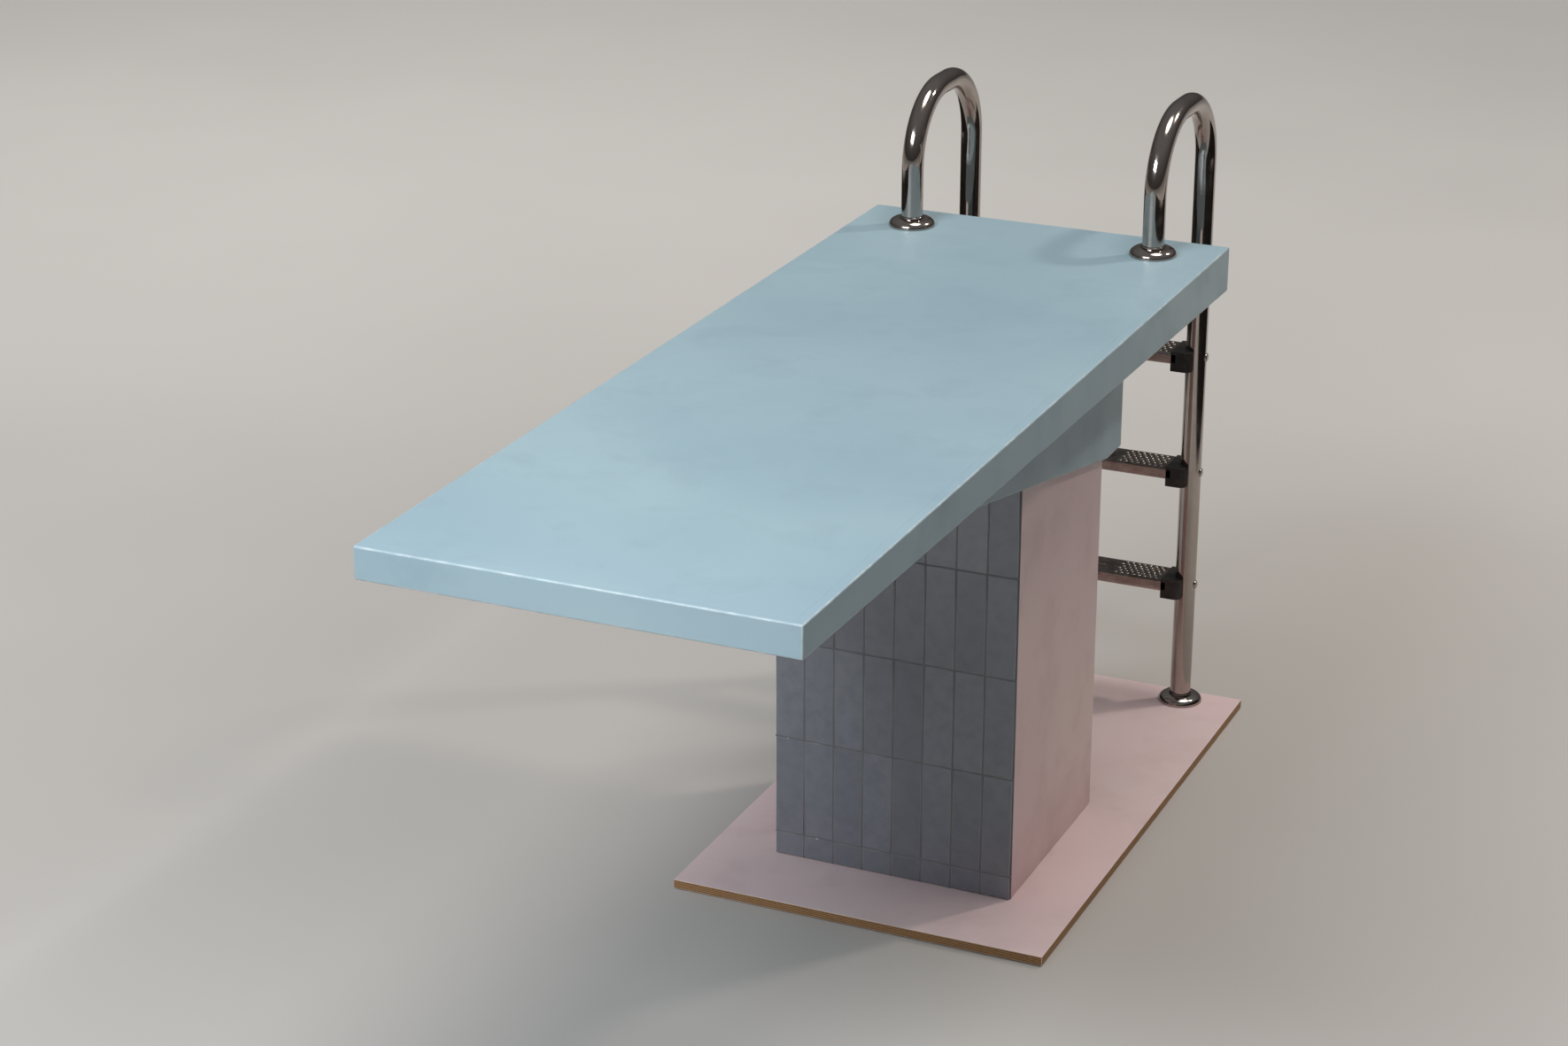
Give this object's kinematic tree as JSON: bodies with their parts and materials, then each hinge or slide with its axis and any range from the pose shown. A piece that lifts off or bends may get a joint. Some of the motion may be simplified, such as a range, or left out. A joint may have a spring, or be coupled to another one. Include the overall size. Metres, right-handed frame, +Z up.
{
  "type": "diving board",
  "caption": "Free-standing fixed diving platform: hollow painted board on a tapered beam and tiled tower, with a flat base and a tube ladder with treads.",
  "frame": {"origin": "on the floor under the middle of the footprint", "axes": "+Z up, -Y towards the board's tip, +Y towards the ladder, +X to the right when looking from the tip to the ladder"},
  "size_m": [0.74, 2.3, 1.3645],
  "materials": {
    "blue_paint": "satin enamel on filled plywood",
    "pink_paint": "satin enamel on filled plywood",
    "softwood": "planed, bare",
    "zinc_steel": "bright zinc plated",
    "stainless": "polished stainless tube and sheet",
    "tile_glaze": "glossy glazed",
    "grout": "matt cement grout",
    "concrete": "cast, rough",
    "pad_rubber": "matt",
    "black_plastic": "moulded, fine texture"
  },
  "bodies": {
    "structure": {"base_pads": "pad_rubber", "base_panel": "pink_paint", "base_screws": "zinc_steel", "tower_posts": "softwood", "tower_bottom_rails": "softwood", "tower_mid_rails": "softwood", "tower_head_rails": "softwood", "tower_front_panel": "pink_paint", "tower_rear_panel": "pink_paint", "tower_left_panel": "pink_paint", "tower_right_panel": "pink_paint", "rear_panel_screws": "zinc_steel", "front_tiles": "tile_glaze", "tile_grout": "grout", "ballast_blocks": "concrete", "beam_left_cheek": "blue_paint", "beam_right_cheek": "blue_paint", "beam_soffit": "blue_paint", "beam_rear_panel": "blue_paint", "beam_ribs": "softwood", "beam_nose_block": "softwood", "beam_bolts": "zinc_steel", "beam_nuts": "zinc_steel", "board_deck": "blue_paint", "board_soffit": "blue_paint", "board_left_edge": "blue_paint", "board_right_edge": "blue_paint", "board_tip_fascia": "blue_paint", "board_rear_fascia": "blue_paint", "board_joists": "softwood", "board_noggins": "softwood", "board_brackets": "zinc_steel", "board_bolts": "zinc_steel", "rail_left": "stainless", "rail_right": "stainless", "deck_anchors": "zinc_steel", "base_anchors": "zinc_steel", "anchor_screws": "zinc_steel", "tread_lower": "stainless", "tread_middle": "stainless", "tread_upper": "stainless", "tread_lower_ends": "black_plastic", "tread_middle_ends": "black_plastic", "tread_upper_ends": "black_plastic", "tread_bolts": "zinc_steel", "tread_bolt_caps": "stainless"},
    "cover_deck_left": {"cover_deck_left": "stainless"},
    "cover_deck_right": {"cover_deck_right": "stainless"},
    "cover_base_left": {"cover_base_left": "stainless"},
    "cover_base_right": {"cover_base_right": "stainless"}
  },
  "joints": [
    {"name": "cover_deck_left_slide", "type": "slide", "parent": "structure", "child": "cover_deck_left", "axis": [0, 0, 1], "range_m": [0, 0.09]},
    {"name": "cover_deck_right_slide", "type": "slide", "parent": "structure", "child": "cover_deck_right", "axis": [0, 0, 1], "range_m": [0, 0.09]},
    {"name": "cover_base_left_slide", "type": "slide", "parent": "structure", "child": "cover_base_left", "axis": [0, 0, 1], "range_m": [0, 0.2]},
    {"name": "cover_base_right_slide", "type": "slide", "parent": "structure", "child": "cover_base_right", "axis": [0, 0, 1], "range_m": [0, 0.2]}
  ]
}
